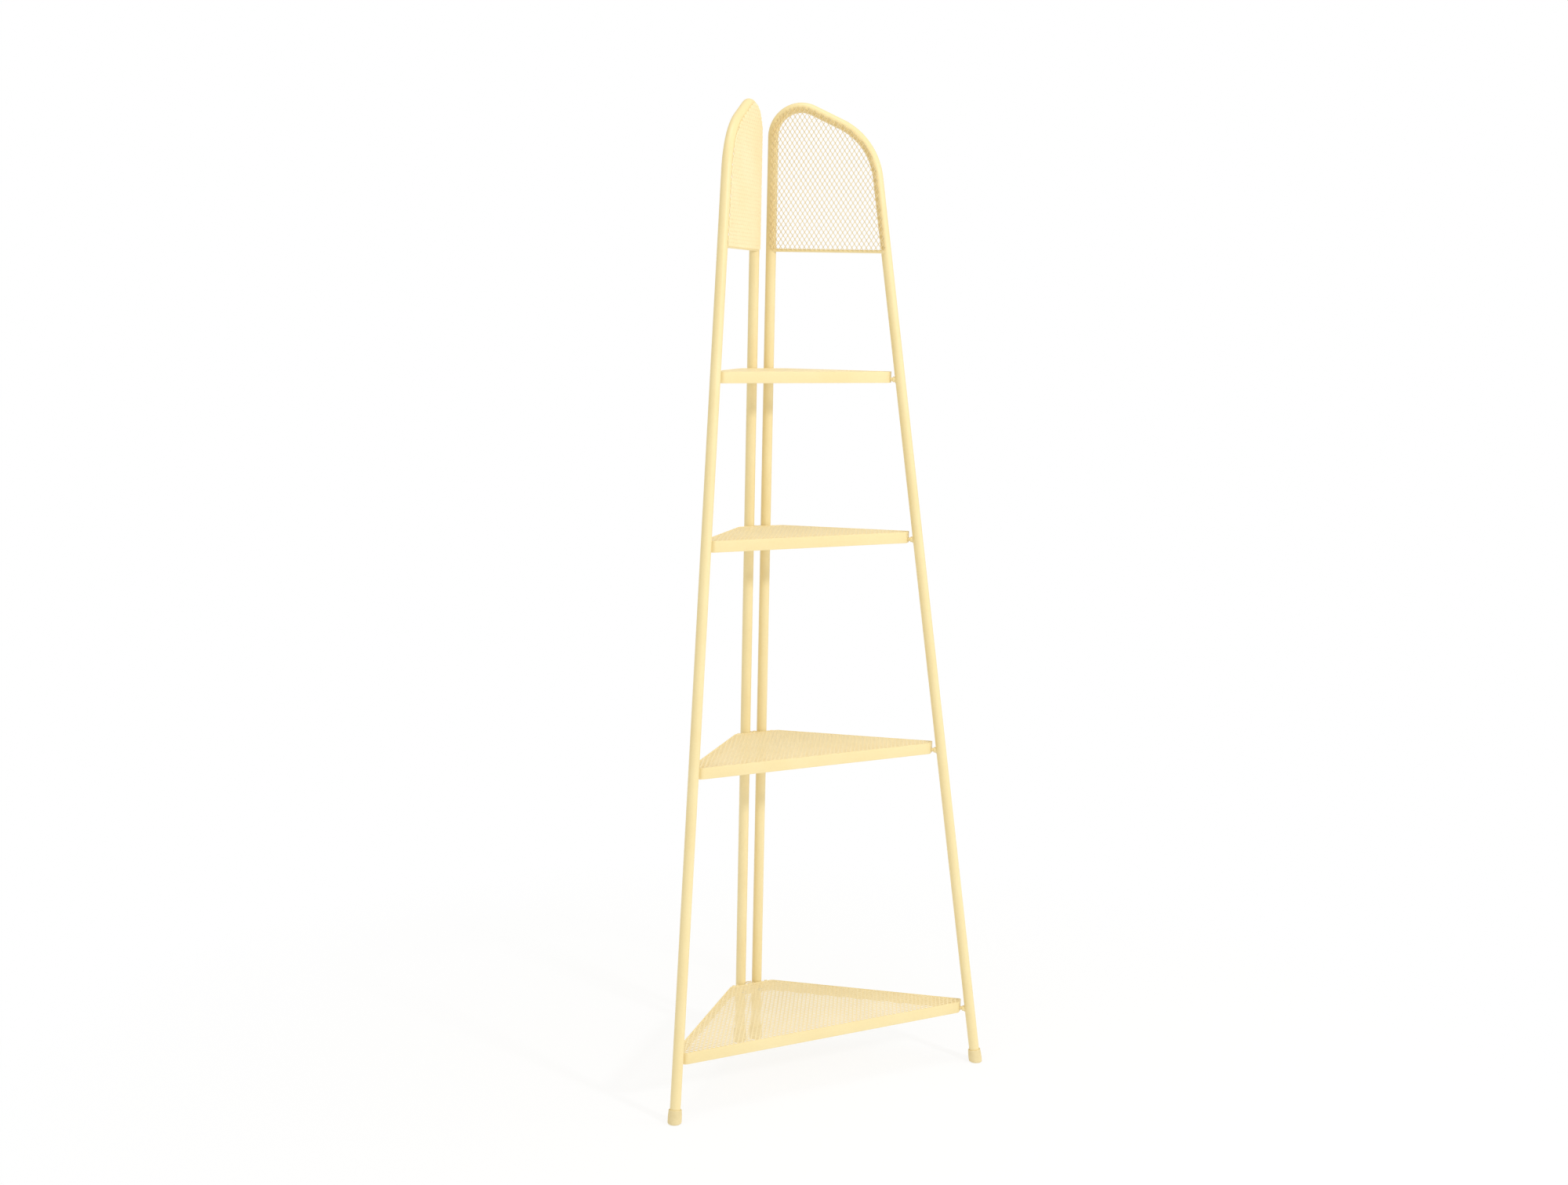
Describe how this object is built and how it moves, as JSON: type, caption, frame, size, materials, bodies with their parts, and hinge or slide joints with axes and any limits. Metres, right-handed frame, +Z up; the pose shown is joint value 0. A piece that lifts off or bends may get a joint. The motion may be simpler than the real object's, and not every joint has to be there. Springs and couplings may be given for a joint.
{
  "type": "corner garden shelf",
  "caption": "Tall corner shelf unit of bent steel tube with triangular expanded-metal shelves, larger towards the floor, and mesh panels at the top.",
  "frame": {"origin": "middle of the footprint on the floor", "axes": "+Z up, -Y towards the open front, the wall corner at +Y, and the two walls at 45 degrees to either side of the plane X = 0"},
  "size_m": [0.6784, 0.3337, 1.8012],
  "materials": {
    "powder_coated_steel": "satin powder coat, pale yellow",
    "foot_plastic": "matte moulded plastic, pale yellow",
    "zinc_plated_steel": "bright zinc plating"
  },
  "bodies": {
    "root": {"left_frame_tube": "powder_coated_steel", "right_frame_tube": "powder_coated_steel", "left_panel_mesh": "powder_coated_steel", "right_panel_mesh": "powder_coated_steel", "left_panel_bar": "powder_coated_steel", "right_panel_bar": "powder_coated_steel", "left_front_foot": "foot_plastic", "right_front_foot": "foot_plastic", "left_rear_foot": "foot_plastic", "right_rear_foot": "foot_plastic", "shelf_1_rim": "powder_coated_steel", "shelf_2_rim": "powder_coated_steel", "shelf_3_rim": "powder_coated_steel", "shelf_4_rim": "powder_coated_steel", "shelf_1_mesh": "powder_coated_steel", "shelf_2_mesh": "powder_coated_steel", "shelf_3_mesh": "powder_coated_steel", "shelf_4_mesh": "powder_coated_steel", "shelf_1_left_boss": "powder_coated_steel", "shelf_1_right_boss": "powder_coated_steel", "shelf_2_left_boss": "powder_coated_steel", "shelf_2_right_boss": "powder_coated_steel", "shelf_3_left_boss": "powder_coated_steel", "shelf_3_right_boss": "powder_coated_steel", "shelf_4_left_boss": "powder_coated_steel", "shelf_4_right_boss": "powder_coated_steel", "shelf_1_left_rear_nut": "zinc_plated_steel", "shelf_1_right_rear_nut": "zinc_plated_steel", "shelf_2_left_rear_nut": "zinc_plated_steel", "shelf_2_right_rear_nut": "zinc_plated_steel", "shelf_3_left_rear_nut": "zinc_plated_steel", "shelf_3_right_rear_nut": "zinc_plated_steel", "shelf_4_left_rear_nut": "zinc_plated_steel", "shelf_4_right_rear_nut": "zinc_plated_steel", "shelf_1_left_bolt": "zinc_plated_steel", "shelf_1_right_bolt": "zinc_plated_steel", "shelf_2_left_bolt": "zinc_plated_steel", "shelf_2_right_bolt": "zinc_plated_steel", "shelf_3_left_bolt": "zinc_plated_steel", "shelf_3_right_bolt": "zinc_plated_steel", "shelf_4_left_bolt": "zinc_plated_steel", "shelf_4_right_bolt": "zinc_plated_steel", "shelf_1_left_rear_bolt": "zinc_plated_steel", "shelf_1_right_rear_bolt": "zinc_plated_steel", "shelf_2_left_rear_bolt": "zinc_plated_steel", "shelf_2_right_rear_bolt": "zinc_plated_steel", "shelf_3_left_rear_bolt": "zinc_plated_steel", "shelf_3_right_rear_bolt": "zinc_plated_steel", "shelf_4_left_rear_bolt": "zinc_plated_steel", "shelf_4_right_rear_bolt": "zinc_plated_steel"}
  },
  "joints": []
}
